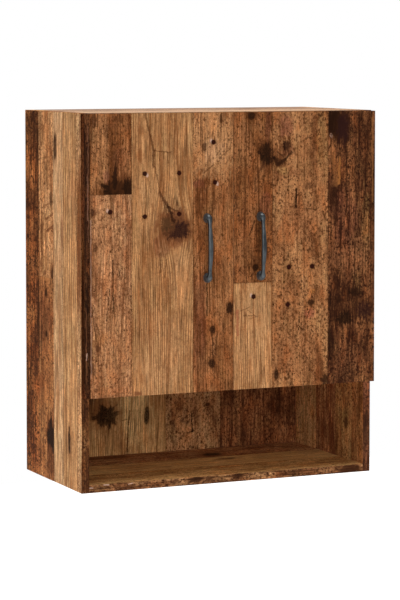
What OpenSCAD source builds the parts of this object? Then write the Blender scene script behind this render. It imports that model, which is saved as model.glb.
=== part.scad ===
// Hanging wall cabinet with two doors above an open niche.
// Frame: X to the right, front faces -Y, back sheet lies on y = 0, Z up.
// The origin is midway between the two wall-screw holes on the back face.

/* [Cabinet] */
// Width over the side panels
cabinet_w = 600; // [560:10:800]
// Height of the side panels
cabinet_h = 700; // [660:10:800]
// Depth from the wall to the closed door fronts
cabinet_d = 310; // [280:5:360]
// Thickness of the boards
board_t = 15; // [15:0.5:16]
// Thickness of the nailed back sheet
back_t = 3; // [2.5:0.5:4]
// Clear height of the open niche
niche_h = 164; // [120:2:200]

/* [Doors] */
// Gap between door and carcass front
door_gap = 1.5; // [1.5:0.1:2]
// Gap between the two doors
door_split = 1.2; // [1:0.2:4]
// How far the doors reach below the divider's top face
door_drop = 16.5; // [14:0.5:18]
// Gap left above the doors
door_top_gap = 1; // [0.5:0.5:3]

/* [Shelf] */
// Height of the loose shelf's underside above the cabinet's underside
shelf_z = 432; // [400:8:464]
// Depth of the loose shelf
shelf_d = 265; // [200:5:268]
// Play at each end of the loose shelf
shelf_play = 1; // [0.5:0.5:2]

/* [Handles] */
// Distance between the two screws of a handle
handle_cc = 112; // [96:16:128]
// Height of the handle's middle above the underside
handle_z = 447; // [420:1:480]
// Distance from the cabinet's middle to a handle
handle_x = 55; // [40:1:80]
// How far the bow stands out from the door
handle_out = 22; // [20:1:30]
// Width of the bow at its middle
bow_w = 11.4; // [8:0.2:14]
// Width of a handle's foot
foot_w = 14.8; // [12:0.2:18]
// Height of a handle's foot
foot_h = 20; // [18:1:24]

/* [Wall fixing] */
// Distance between the two wall screws
wall_cc = 440; // [320:10:480]
// Height of the wall screws above the underside
wall_z = 645; // [635:1:648]
// Diameter of the wall-screw holes
wall_hole_d = 6; // [5:0.5:8]

/* [Hidden] */
$fn = 48;
hw = cabinet_w / 2;
inner = hw - board_t;
zb = -wall_z;
zt = cabinet_h - wall_z;
front = -(cabinet_d - board_t - door_gap);
door_back = front - door_gap;
door_face = -cabinet_d;
divider_z = zb + board_t + niche_h;
divider_top = divider_z + board_t;
door_z0 = divider_top - door_drop;
door_z1 = zt - door_top_gap;
door_w = hw - door_split / 2;
hinge_z = [door_z0 + 95, door_z1 - 95];
rail_h = 80;
// joint fittings along the depth: a cam bolt near the front and back, a dowel beside each
bolt_y = [front + 50, -53];
dowel_y = [front + 82, -85];
cam_r = 7.5;
cam_in = 34;
pin_rows = [-32, 0, 32];
pin_y = [front + 45, -55];
pin_z = zb + shelf_z - 2.5;
// hinge, in plan: u from the side panel's outer face inwards, v forward of the carcass front
cup_u = 20.5;
cup_r = 17.5;
cup_deep = 12;
plate_v = -37;
pivot_u = 6.2;
pivot_v = door_gap + 9.1;
arm_u = board_t + 2.6;

wood_a = "#9a6a42";
wood_b = "#7d5234";
wood_c = "#b98a5c";
steel = "#b9bcc0";
gunmetal = "#4a5058";

// a board between two opposite corners
module board(a, b) {
  translate(a)
    cube(b - a);
}

// round hole or peg along X, from x0 to x1
module rod_x(x0, x1, y, z, r) {
  translate([min(x0, x1), y, z])
    rotate([0, 90, 0])
      cylinder(r = r, h = abs(x1 - x0));
}

// round hole or peg along Y, from y0 to y1
module rod_y(x, y0, y1, z, r) {
  translate([x, max(y0, y1), z])
    rotate([90, 0, 0])
      cylinder(r = r, h = abs(y1 - y0));
}

// height of the middle of each fixed board
top_mid = zt - board_t / 2;
bottom_mid = zb + board_t / 2;
divider_mid = divider_z + board_t / 2;

// left side panel; the right one is its mirror image
module side_panel() {
  difference() {
    board([-hw, front, zb], [-inner, -back_t, zt]);
    for (z = [top_mid, bottom_mid, divider_mid]) {
      for (y = bolt_y)
        rod_x(-inner - 11, -inner + 1, y, z, 2.5);
      for (y = dowel_y)
        rod_x(-inner - 10.5, -inner + 1, y, z, 4);
    }
    rod_x(-inner - 11, -inner + 1, -back_t - board_t / 2, 18, 2.5);
    rod_x(-inner - 10.5, -inner + 1, -back_t - board_t / 2, -18, 4);
    for (y = pin_y)
      for (dz = pin_rows)
        rod_x(-inner - 8.5, -inner + 1, y, pin_z + dz, 2.5);
    for (z = hinge_z)
      for (s = [-16, 16])
        rod_x(-inner - 12, -inner + 1, front - plate_v, z + s, 1.5);
  }
}

// holes in both ends of a fixed board for cam bolts and dowels, and the cam holes in one face
module end_holes(mid, face) {
  for (s = [-1, 1]) {
    for (y = bolt_y) {
      rod_x(s * (inner + 1), s * (inner - cam_in), y, mid, 4);
      translate([s * (inner - cam_in), y, mid + face * (board_t / 2 - 12.5)])
        mirror([0, 0, face < 0 ? 1 : 0])
          cylinder(r = cam_r, h = 13.5);
    }
    for (y = dowel_y)
      rod_x(s * (inner + 1), s * (inner - 20.5), y, mid, 4);
  }
}

module top_panel() {
  color(wood_b)
    difference() {
      board([-inner, front, zt - board_t], [inner, -back_t, zt]);
      end_holes(top_mid, -1);
    }
}

module bottom_panel() {
  color(wood_a)
    difference() {
      board([-inner, front, zb], [inner, -back_t, zb + board_t]);
      end_holes(bottom_mid, -1);
    }
}

module divider_shelf() {
  color(wood_a)
    difference() {
      board([-inner, front, divider_z], [inner, -back_t, divider_top]);
      end_holes(divider_mid, 1);
    }
}

module loose_shelf() {
  color(wood_c)
    board([-inner + shelf_play, -back_t - 5 - shelf_d, zb + shelf_z],
      [inner - shelf_play, -back_t - 5, zb + shelf_z + board_t]);
}

module hanging_rail() {
  y0 = -back_t - board_t;
  mid = -back_t - board_t / 2;
  color(wood_b)
    difference() {
      board([-inner, y0, -rail_h / 2], [inner, -back_t, rail_h / 2]);
      for (s = [-1, 1]) {
        rod_y(s * wall_cc / 2, y0 - 1, 1, 0, wall_hole_d / 2);
        rod_x(s * (inner + 1), s * (inner - cam_in), mid, 18, 4);
        rod_y(s * (inner - cam_in), mid - 5, 1, 18, cam_r);
        rod_x(s * (inner + 1), s * (inner - 20.5), mid, -18, 4);
      }
    }
}

// nails that hold the back sheet: [x, z] of each
edge_x = hw - board_t / 2;
nail_top = [for (i = [-1.5:1:1.5]) [i * inner / 2, top_mid]];
nail_bottom = [for (i = [-1.5:1:1.5]) [i * inner / 2, bottom_mid]];
nail_divider = [for (i = [-1:1:1]) [i * inner / 2, divider_mid]];
nail_sides = [for (s = [-1, 1], f = [0.12, 0.38, 0.62, 0.88]) [s * edge_x, zb + f * cabinet_h]];
nails = concat(nail_top, nail_bottom, nail_divider, nail_sides);

module back_panel() {
  color(wood_b)
    difference() {
      board([-hw + 1, -back_t, zb + 1], [hw - 1, 0, zt - 1]);
      for (s = [-1, 1])
        rod_y(s * wall_cc / 2, -back_t - 1, 1, 0, wall_hole_d / 2);
      for (p = nails) {
        rod_y(p[0], -back_t - 1, 1, p[1], 0.8);
        rod_y(p[0], -0.8, 1, p[1], 1.7);
      }
    }
}

module back_nails() {
  color(steel)
    for (p = nails) {
      rod_y(p[0], -17, -0.7, p[1], 0.7);
      rod_y(p[0], -0.75, -0.15, p[1], 1.6);
    }
}

// cam lock lying on its back, its driver cross on top at z = 0
module cam_lock() {
  difference() {
    translate([0, 0, -12.2])
      cylinder(r = cam_r - 0.1, h = 12);
    translate([-3, 0, -board_t / 2])
      rotate([0, 90, 0])
        cylinder(r = 3.9, h = 12);
    translate([-3.1, -0.7, -1.4])
      cube([6.2, 1.4, 2]);
    translate([-0.7, -3.1, -1.4])
      cube([1.4, 6.2, 2]);
  }
}

module cam_locks() {
  color(steel) {
    for (s = [-1, 1]) {
      for (y = bolt_y) {
        translate([s * (inner - cam_in), y, zb])
          mirror([s < 0 ? 1 : 0, 0, 0])
            mirror([0, 0, 1])
              cam_lock();
        translate([s * (inner - cam_in), y, zt - board_t])
          mirror([s < 0 ? 1 : 0, 0, 0])
            mirror([0, 0, 1])
              cam_lock();
        translate([s * (inner - cam_in), y, divider_top])
          mirror([s < 0 ? 1 : 0, 0, 0])
            cam_lock();
      }
      translate([s * (inner - cam_in), -back_t, 18])
        mirror([s < 0 ? 1 : 0, 0, 0])
          rotate([-90, 0, 0])
            cam_lock();
    }
  }
}

// cam bolt along +X from the panel's inner face at x = 0; thread on the -X side
module cam_bolt() {
  rod_x(-10.5, 0.2, 0, 0, 2.45);
  rod_x(0.2, 2.2, 0, 0, 3.8);
  rod_x(2.2, 27, 0, 0, 3);
  rod_x(27, 32.2, 0, 0, 2);
  rod_x(32.2, 35, 0, 0, 3.4);
}

module cam_bolts() {
  color(steel)
    for (s = [0, 1])
      mirror([s, 0, 0]) {
        for (y = bolt_y)
          for (z = [top_mid, bottom_mid, divider_mid])
            translate([-inner, y, z])
              cam_bolt();
        translate([-inner, -back_t - board_t / 2, 18])
          cam_bolt();
      }
}

module dowels() {
  color("#d8b98a")
    for (s = [0, 1])
      mirror([s, 0, 0]) {
        for (y = dowel_y)
          for (z = [top_mid, bottom_mid, divider_mid])
            rod_x(-inner - 10, -inner + 20, y, z, 3.95);
        rod_x(-inner - 10, -inner + 20, -back_t - board_t / 2, -18, 3.95);
      }
}

module shelf_pins() {
  color(steel)
    for (s = [0, 1])
      mirror([s, 0, 0])
        for (y = pin_y) {
          rod_x(-inner - 8, -inner + 9, y, pin_z, 2.45);
          rod_x(-inner + 0.02, -inner + 0.95, y, pin_z, 4);
        }
}

// left door; the right one is its mirror image
module door() {
  difference() {
    board([-hw, door_face, door_z0], [-hw + door_w, door_back, door_z1]);
    for (z = hinge_z) {
      rod_y(-hw + cup_u, door_back - cup_deep, door_back + 1, z, cup_r);
      for (s = [-24, 24])
        rod_y(-hw + cup_u + 6, door_back - 11, door_back + 1, z + s, 1.3);
    }
    for (s = [-1, 1])
      rod_y(-handle_x, door_face - 1, door_back + 1, zb + handle_z + s * handle_cc / 2, 2.25);
    // eased back edge on the hinge side, so that the door swings clear of the side panel
    translate([-hw, door_back, door_z0 - 1])
      linear_extrude(height = door_z1 - door_z0 + 2)
        polygon([[-0.1, 0.1], [1.5, 0.1], [-0.1, -1.5]]);
  }
}

module door_left() {
  color(wood_a)
    door();
}

module door_right() {
  color(wood_a)
    mirror([1, 0, 0])
      door();
}

// plan position of one left hinge: child X is u, child Y is v, both doors' hinges at two heights
module at_hinges(side) {
  mirror([side > 0 ? 1 : 0, 0, 0])
    for (z = hinge_z)
      translate([-hw, front, z])
        mirror([0, 1, 0])
          children();
}

// flat plate screwed to the side panel, with two wings
module hinge_plate() {
  difference() {
    union() {
      board([board_t, -60, -8], [board_t + 2.55, -15, 8]);
      board([board_t, plate_v - 6, -22], [board_t + 2, plate_v + 6, 22]);
    }
    for (s = [-16, 16])
      rod_x(board_t - 1, board_t + 4, plate_v, s, 1.9);
    for (v = [-50, -24])
      rod_x(board_t - 1, board_t + 4, v, 0, 1.75);
  }
}

// screws of one plate, with slotted pan heads
module plate_screw(z) {
  difference() {
    union() {
      rod_x(board_t - 11.5, board_t + 2.1, plate_v, z, 1.45);
      rod_x(board_t + 2.05, board_t + 3.6, plate_v, z, 3.4);
    }
    board([board_t + 2.8, plate_v - 2.2, z - 0.4], [board_t + 5, plate_v + 2.2, z + 0.4]);
    board([board_t + 2.8, plate_v - 0.4, z - 2.2], [board_t + 5, plate_v + 0.4, z + 2.2]);
  }
}

// goose-neck arm: a shallow channel behind the front edge, a hook that reaches into the cup
module hinge_arm() {
  difference() {
    union() {
      translate([0, 0, -2.8])
        linear_extrude(height = 5.6)
          union() {
            translate([pivot_u, pivot_v])
              circle(r = 2);
            polygon([[pivot_u, pivot_v - 1.1], [arm_u - 1, pivot_v - 0.7], [arm_u, pivot_v - 1.7],
              [arm_u, -3], [arm_u + 2.2, -3], [arm_u + 2.2, pivot_v + 0.6],
              [arm_u + 1, pivot_v + 1.8], [pivot_u, pivot_v + 1.4]]);
          }
      board([arm_u, -58, -6.6], [arm_u + 2.2, -2.5, 6.6]);
      for (s = [-1, 1])
        board([arm_u + 2.1, -58, s * 5.9 - 0.7], [arm_u + 5, -7, s * 5.9 + 0.7]);
    }
    translate([pivot_u, pivot_v, -5])
      cylinder(r = 1.06, h = 10);
    for (v = [-50, -24])
      rod_x(arm_u - 1, arm_u + 4, v, 0, 2.3);
  }
}

// the two screws that hold and adjust one arm
module arm_screw(v) {
  difference() {
    union() {
      rod_x(board_t + 0.2, arm_u + 2.3, v, 0, 1.7);
      rod_x(arm_u + 2.25, arm_u + 4.2, v, 0, 3.6);
    }
    board([arm_u + 3.2, v - 2.4, -0.45], [arm_u + 6, v + 2.4, 0.45]);
    board([arm_u + 3.2, v - 0.45, -2.4], [arm_u + 6, v + 0.45, 2.4]);
  }
}

// pressed cup with its flange on the door's back face and two bosses that hold the pin
module hinge_cup() {
  v0 = door_gap;
  difference() {
    union() {
      translate([cup_u, v0 - 0.6, 0])
        rotate([-90, 0, 0])
          cylinder(r = cup_r - 0.1, h = cup_deep + 0.5);
      intersection() {
        translate([cup_u, v0 - 1, 0])
          rotate([-90, 0, 0])
            cylinder(r = 19, h = 0.98);
        board([3.9, v0 - 2, -20], [50, v0 + 1, 20]);
      }
      board([cup_u - 3, v0 - 1, -30], [cup_u + 13.5, v0 - 0.02, 30]);
    }
    difference() {
      translate([cup_u, v0 - 2, 0])
        rotate([-90, 0, 0])
          cylinder(r = cup_r - 0.7, h = cup_deep + 1.3);
      for (s = [-1, 1])
        board([0, pivot_v - 2.6, s * 5.1 - 2], [pivot_u + 2.6, v0 + cup_deep, s * 5.1 + 2]);
    }
    translate([pivot_u, pivot_v, -7])
      cylinder(r = 1.02, h = 14);
    for (s = [-24, 24])
      rod_y(cup_u + 6, v0 - 2, v0 + 1, s, 1.7);
  }
}

module hinge_pin() {
  translate([pivot_u, pivot_v, -6.9])
    cylinder(r = 1, h = 13.8);
}

module cup_screw(z) {
  v0 = door_gap;
  difference() {
    union() {
      rod_y(cup_u + 6, v0 - 1.05, v0 + 10.5, z, 1.25);
      rod_y(cup_u + 6, v0 - 2.5, v0 - 1.02, z, 3.3);
    }
    board([cup_u + 3.8, v0 - 4, z - 0.4], [cup_u + 8.2, v0 - 1.7, z + 0.4]);
    board([cup_u + 5.6, v0 - 4, z - 2.2], [cup_u + 6.4, v0 - 1.7, z + 2.2]);
  }
}

module hinge_plates_left() {
  color(steel)
    at_hinges(-1)
      hinge_plate();
}

module hinge_plates_right() {
  color(steel)
    at_hinges(1)
      hinge_plate();
}

module plate_screws() {
  color(steel)
    for (side = [-1, 1])
      at_hinges(side)
        for (s = [-16, 16])
          plate_screw(s);
}

module hinge_arms_left() {
  color(steel)
    at_hinges(-1)
      hinge_arm();
}

module hinge_arms_right() {
  color(steel)
    at_hinges(1)
      hinge_arm();
}

module arm_screws() {
  color(steel)
    for (side = [-1, 1])
      at_hinges(side)
        for (v = [-50, -24])
          arm_screw(v);
}

module hinge_cups_left() {
  color(steel)
    at_hinges(-1)
      hinge_cup();
}

module hinge_cups_right() {
  color(steel)
    at_hinges(1)
      hinge_cup();
}

module hinge_pins_left() {
  color(steel)
    at_hinges(-1)
      hinge_pin();
}

module hinge_pins_right() {
  color(steel)
    at_hinges(1)
      hinge_pin();
}

module cup_screws_left() {
  color(steel)
    at_hinges(-1)
      for (s = [-24, 24])
        cup_screw(s);
}

module cup_screws_right() {
  color(steel)
    at_hinges(1)
      for (s = [-24, 24])
        cup_screw(s);
}

// side outline of the bow in the Y-Z plane: rises from each foot to the arch and back
function arch(t) = handle_out * (0.62 + 0.38 * pow(cos(90 * t), 0.8));
function arch_in(t) = arch(t) - (5.5 - 0.7 * abs(t));
// half width of the bow: full in the middle, a neck next to each foot
function swell(t) = bow_w / 2 * (0.76 + 0.24 * pow(cos(90 * t), 2));

module bow() {
  half = handle_cc / 2;
  n = 14;
  intersection() {
    rotate([90, 0, 90])
      translate([0, 0, -20])
        linear_extrude(height = 40)
          polygon(concat([for (i = [-n:n]) [-arch(i / n), half * i / n]],
            [for (i = [n:-1:-n]) [-arch_in(i / n), half * i / n]]));
    rotate([90, 0, 0])
      linear_extrude(height = 60)
        polygon(concat([for (i = [-n:n]) [swell(i / n), half * i / n]],
          [for (i = [n:-1:-n]) [-swell(i / n), half * i / n]]));
  }
}

// an oval slice of a foot: its middle at y, its thickness t, its size as a share of the foot's
module foot_slice(y, t, share) {
  translate([0, y, 0])
    rotate([90, 0, 0])
      scale([foot_w / foot_h, 1, 1])
        cylinder(r = share * foot_h / 2, h = t, center = true, $fn = 28);
}

// one foot, its base on y = 0, its middle at z = 0
module foot() {
  hull() {
    foot_slice(-1, 2, 1);
    foot_slice(-8, 3, 0.96);
    foot_slice(-13, 1.2, 0.7);
  }
}

// handle with its mounting face on y = 0, standing out towards -Y
module handle() {
  difference() {
    union() {
      bow();
      for (s = [-1, 1])
        translate([0, 0, s * handle_cc / 2])
          foot();
    }
    for (s = [-1, 1])
      rod_y(0, -11, 1, s * handle_cc / 2, 2.05);
  }
}

module handle_left() {
  color(gunmetal)
    translate([-handle_x, door_face, zb + handle_z])
      handle();
}

module handle_right() {
  color(gunmetal)
    translate([handle_x, door_face, zb + handle_z])
      handle();
}

// handle screws from the inside of the door
module handle_screws(x) {
  for (s = [-1, 1])
    translate([x, door_back, zb + handle_z + s * handle_cc / 2])
      difference() {
        union() {
          rod_y(0, -board_t - 9.5, 0.02, 0, 2);
          translate([0, 2.2, 0])
            rotate([90, 0, 0])
              cylinder(r1 = 3.2, r2 = 4.2, h = 2.18);
        }
        translate([-3, 1.3, -0.5])
          cube([6, 2, 1]);
        translate([-0.5, 1.3, -3])
          cube([1, 2, 6]);
      }
}

module handle_screws_left() {
  color(steel)
    handle_screws(-handle_x);
}

module handle_screws_right() {
  color(steel)
    handle_screws(handle_x);
}

module side_panel_left() {
  color(wood_a)
    side_panel();
}

module side_panel_right() {
  color(wood_a)
    mirror([1, 0, 0])
      side_panel();
}

side_panel_left();
side_panel_right();
top_panel();
bottom_panel();
divider_shelf();
loose_shelf();
back_panel();
hanging_rail();
shelf_pins();
back_nails();
cam_locks();
cam_bolts();
dowels();
hinge_plates_left();
hinge_plates_right();
plate_screws();
hinge_arms_left();
hinge_arms_right();
arm_screws();
door_left();
door_right();
hinge_cups_left();
hinge_cups_right();
hinge_pins_left();
hinge_pins_right();
cup_screws_left();
cup_screws_right();
handle_left();
handle_right();
handle_screws_left();
handle_screws_right();
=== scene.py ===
"""Looks of the hanging wall cabinet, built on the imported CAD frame.

Lengths in the wood tables are millimetres in the row frame: a runs across the planks,
g runs along their grain. Meshes are in metres.
"""
import math

import bmesh
import bpy
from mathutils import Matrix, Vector


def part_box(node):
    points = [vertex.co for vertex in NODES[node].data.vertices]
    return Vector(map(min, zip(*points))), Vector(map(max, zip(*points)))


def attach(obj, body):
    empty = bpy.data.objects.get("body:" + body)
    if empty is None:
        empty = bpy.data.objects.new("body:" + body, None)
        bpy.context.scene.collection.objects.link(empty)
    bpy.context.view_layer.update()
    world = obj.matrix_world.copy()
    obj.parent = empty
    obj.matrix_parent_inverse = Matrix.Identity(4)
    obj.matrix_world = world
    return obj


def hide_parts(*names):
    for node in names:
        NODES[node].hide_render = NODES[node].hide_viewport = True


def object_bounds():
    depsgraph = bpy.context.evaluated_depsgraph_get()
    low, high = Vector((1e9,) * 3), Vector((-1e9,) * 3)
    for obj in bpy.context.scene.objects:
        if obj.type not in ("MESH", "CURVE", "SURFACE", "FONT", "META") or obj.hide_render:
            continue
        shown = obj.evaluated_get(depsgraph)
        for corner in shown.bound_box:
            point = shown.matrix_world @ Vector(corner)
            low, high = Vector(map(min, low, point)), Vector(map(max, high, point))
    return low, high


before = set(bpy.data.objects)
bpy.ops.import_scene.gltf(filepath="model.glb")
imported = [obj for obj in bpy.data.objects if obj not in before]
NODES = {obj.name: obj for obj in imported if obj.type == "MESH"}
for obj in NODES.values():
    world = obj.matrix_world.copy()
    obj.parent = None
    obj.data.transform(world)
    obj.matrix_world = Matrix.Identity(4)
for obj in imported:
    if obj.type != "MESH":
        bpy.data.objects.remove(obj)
cad_low, cad_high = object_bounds()
MM = 1000.0   # millimetres in a metre


# ---------------------------------------------------------------- shader building

class Shader:
    """One material, with short calls for the nodes it is made of."""

    def __init__(self, name):
        self.mat = bpy.data.materials.new(name)
        self.mat.use_nodes = True
        self.tree = self.mat.node_tree
        self.tree.nodes.clear()
        out = self.tree.nodes.new("ShaderNodeOutputMaterial")
        self.bsdf = self.tree.nodes.new("ShaderNodeBsdfPrincipled")
        self.tree.links.new(self.bsdf.outputs[0], out.inputs["Surface"])
        self.place = self.tree.nodes.new("ShaderNodeTexCoord").outputs["Object"]

    def feed(self, socket, value):
        if isinstance(value, bpy.types.NodeSocket):
            self.tree.links.new(value, socket)
        elif isinstance(value, (tuple, list)) and socket.type == "RGBA":
            socket.default_value = (*value[:3], 1.0)
        else:
            socket.default_value = value

    def math(self, op, a, b=0.0, c=0.0, clamp=False):
        n = self.tree.nodes.new("ShaderNodeMath")
        n.operation = op
        n.use_clamp = clamp
        for socket, value in zip(n.inputs, (a, b, c)):
            self.feed(socket, value)
        return n.outputs[0]

    def vector(self, op, a, b=(0, 0, 0), c=(0, 0, 0)):
        n = self.tree.nodes.new("ShaderNodeVectorMath")
        n.operation = op
        for socket, value in zip(n.inputs, (a, b, c)):
            self.feed(socket, value)
        return n.outputs["Value"] if op in ("LENGTH", "DISTANCE", "DOT_PRODUCT") else n.outputs[0]

    def join(self, x, y, z):
        n = self.tree.nodes.new("ShaderNodeCombineXYZ")
        for socket, value in zip(n.inputs, (x, y, z)):
            self.feed(socket, value)
        return n.outputs[0]

    def split(self, v):
        n = self.tree.nodes.new("ShaderNodeSeparateXYZ")
        self.feed(n.inputs[0], v)
        return n.outputs

    def smooth(self, x, low, high, to=1.0):
        """0 at low, to at high, with an eased rise or fall between."""
        n = self.tree.nodes.new("ShaderNodeMapRange")
        n.interpolation_type = "SMOOTHSTEP"
        start, end = (to, 0.0) if low > high else (0.0, to)
        for socket, value in zip(n.inputs, (x, min(low, high), max(low, high), start, end)):
            self.feed(socket, value)
        return n.outputs[0]

    def mix(self, f, a, b, blend="MIX"):
        n = self.tree.nodes.new("ShaderNodeMix")
        n.data_type = "RGBA"
        n.blend_type = blend
        n.clamp_factor = True
        self.feed(n.inputs[0], f)
        self.feed(n.inputs[6], a)
        self.feed(n.inputs[7], b)
        return n.outputs[2]

    def noise(self, v, detail=2.0, rough=0.5, scale=1.0):
        n = self.tree.nodes.new("ShaderNodeTexNoise")
        self.feed(n.inputs["Vector"], v)
        n.inputs["Scale"].default_value = scale
        n.inputs["Detail"].default_value = detail
        n.inputs["Roughness"].default_value = rough
        return n.outputs[0]

    def cells(self, v):
        """(distance to the nearest cell point, a colour that differs from cell to cell)"""
        n = self.tree.nodes.new("ShaderNodeTexVoronoi")
        self.feed(n.inputs["Vector"], v)
        n.inputs["Scale"].default_value = 1.0
        return n.outputs["Distance"], n.outputs["Color"]

    def bump(self, height, strength, distance):
        n = self.tree.nodes.new("ShaderNodeBump")
        n.inputs["Strength"].default_value = strength
        n.inputs["Distance"].default_value = distance
        self.feed(n.inputs["Height"], height)
        self.tree.links.new(n.outputs[0], self.bsdf.inputs["Normal"])

    def set(self, **values):
        for name, value in values.items():
            self.feed(self.bsdf.inputs[name.replace("_", " ")], value)


# ---------------------------------------------------------------- old-plank decor

BLACK = (0.011, 0.0042, 0.0016)
NAIL = (0.019, 0.0035, 0.002)
KNOT = (0.028, 0.009, 0.0035)
CHIP = (0.56, 0.36, 0.27)

# How each kind of plank looks. ring is the ring spacing in mm; rings, streak, fibre, blotch, hue,
# grit, mottle, dash and worms are strengths; fleck is where mottling turns dark, dense is how
# close the worm marks lie, and wander is how far the grain strays in mm.
KINDS = {
    "pine": dict(ring=4.4, rings=0.82, streak=0.85, fibre=2.1, blotch=0.4, hue=0.35, grit=0.7,
                 mottle=0.5, fleck=0.13, dash=0.4, worms=0.6, dense=0.6, wander=11),
    "worm": dict(ring=9.0, rings=0.05, streak=0.5, fibre=1.1, blotch=0.8, hue=0.6, grit=1.5,
                 mottle=0.85, fleck=0.055, dash=0.3, worms=0.95, dense=1.45, wander=20),
    "mid": dict(ring=5.5, rings=0.35, streak=0.8, fibre=1.7, blotch=0.7, hue=0.5, grit=1.4,
                mottle=1.0, fleck=0.085, dash=0.7, worms=1.0, dense=1.15, wander=14),
    "soft": dict(ring=5.5, rings=0.35, streak=0.8, fibre=1.7, blotch=0.8, hue=0.5, grit=1.2,
                 mottle=0.85, fleck=0.10, dash=0.6, worms=0.8, dense=0.85, wander=14),
    "dark": dict(ring=6.5, rings=0.3, streak=0.9, fibre=1.9, blotch=0.9, hue=0.6, grit=1.8,
                 mottle=1.3, fleck=0.06, dash=0.8, worms=1.0, dense=1.1, wander=16),
    "edge": dict(ring=5.0, rings=0.25, streak=1.0, fibre=1.5, blotch=1.1, hue=0.6, grit=1.6,
                 mottle=1.1, fleck=0.05, dash=0.7, worms=1.0, dense=1.1, wander=12),
}
woods = {}


def scaled(colour, share):
    return tuple(v * share for v in colour)


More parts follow.
